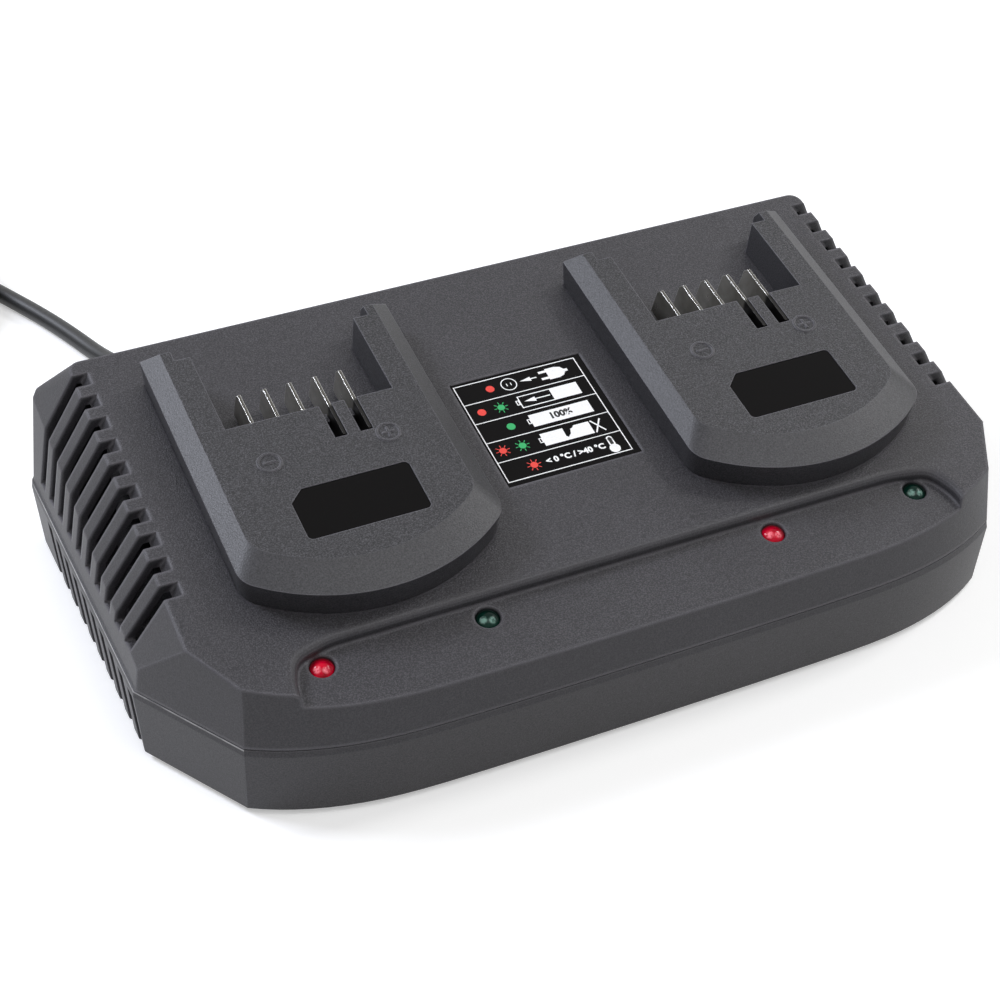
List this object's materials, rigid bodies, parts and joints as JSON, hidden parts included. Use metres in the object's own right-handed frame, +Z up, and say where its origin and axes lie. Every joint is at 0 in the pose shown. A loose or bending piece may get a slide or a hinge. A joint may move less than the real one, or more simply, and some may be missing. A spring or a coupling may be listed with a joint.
{
  "type": "power tool battery charger",
  "caption": "Twin-bay charger for slide-on power tool battery packs: sloping housing with two raised docks, blade contacts, side vents, indicator lights and a mains lead.",
  "frame": {"origin": "centre of the charger's footprint on the table, without the cord", "axes": "+X to the charger's right, +Y to the rear where the cord leaves, +Z up"},
  "size_m": [0.3177, 0.321, 0.0696],
  "materials": {
    "housing_plastic": "fine grained, matt",
    "circuit_board": "satin",
    "ferrite": "matt, dense",
    "winding_tape": "smooth tape",
    "black_plastic": "matt",
    "fuse_glass": "clear",
    "label_film": "glossy film",
    "cord_rubber": "semi matt",
    "tie_plastic": "satin",
    "plug_plastic": "satin",
    "pin_brass": "nickel plated",
    "blade_brass": "nickel plated, brushed",
    "ribbon_insulation": "satin",
    "capacitor_sleeve": "shrink sleeve",
    "heatsink_aluminium": "extruded",
    "led_red": "clear tinted lens",
    "led_green": "clear tinted lens",
    "screw_steel": "zinc plated",
    "foot_rubber": "matt"
  },
  "bodies": {
    "root": {"upper_housing": "housing_plastic", "lower_housing": "housing_plastic", "led_board": "circuit_board", "main_board": "circuit_board", "transformer_core": "ferrite", "transformer_winding": "winding_tape", "mains_capacitor": "black_plastic", "choke": "ferrite", "rectifier": "black_plastic", "fuse": "fuse_glass", "mains_block": "black_plastic", "strain_relief": "cord_rubber", "info_label": "label_film", "cord": "cord_rubber", "cord_coil": "cord_rubber", "cord_tie": "tie_plastic", "cord_tail": "cord_rubber", "plug_body": "plug_plastic", "plug_pins": "pin_brass", "left_dock": "housing_plastic", "left_contact_holder": "black_plastic", "left_blade_1": "blade_brass", "left_blade_2": "blade_brass", "left_blade_3": "blade_brass", "left_blade_4": "blade_brass", "left_blade_5": "blade_brass", "left_contact_board": "circuit_board", "left_ribbon": "ribbon_insulation", "left_dock_label": "label_film", "left_output_capacitor": "capacitor_sleeve", "left_heatsink": "heatsink_aluminium", "left_transistor": "black_plastic", "left_red_led": "led_red", "left_green_led": "led_green", "right_dock": "housing_plastic", "right_contact_holder": "black_plastic", "right_blade_1": "blade_brass", "right_blade_2": "blade_brass", "right_blade_3": "blade_brass", "right_blade_4": "blade_brass", "right_blade_5": "blade_brass", "right_contact_board": "circuit_board", "right_ribbon": "ribbon_insulation", "right_dock_label": "label_film", "right_output_capacitor": "capacitor_sleeve", "right_heatsink": "heatsink_aluminium", "right_transistor": "black_plastic", "right_red_led": "led_red", "right_green_led": "led_green", "led_ribbon": "ribbon_insulation", "live_wire": "ribbon_insulation", "neutral_wire": "ribbon_insulation", "left_rear_screw": "screw_steel", "left_rear_foot": "foot_rubber", "left_front_screw": "screw_steel", "left_front_foot": "foot_rubber", "right_rear_screw": "screw_steel", "right_rear_foot": "foot_rubber", "right_front_screw": "screw_steel", "right_front_foot": "foot_rubber"}
  },
  "joints": []
}
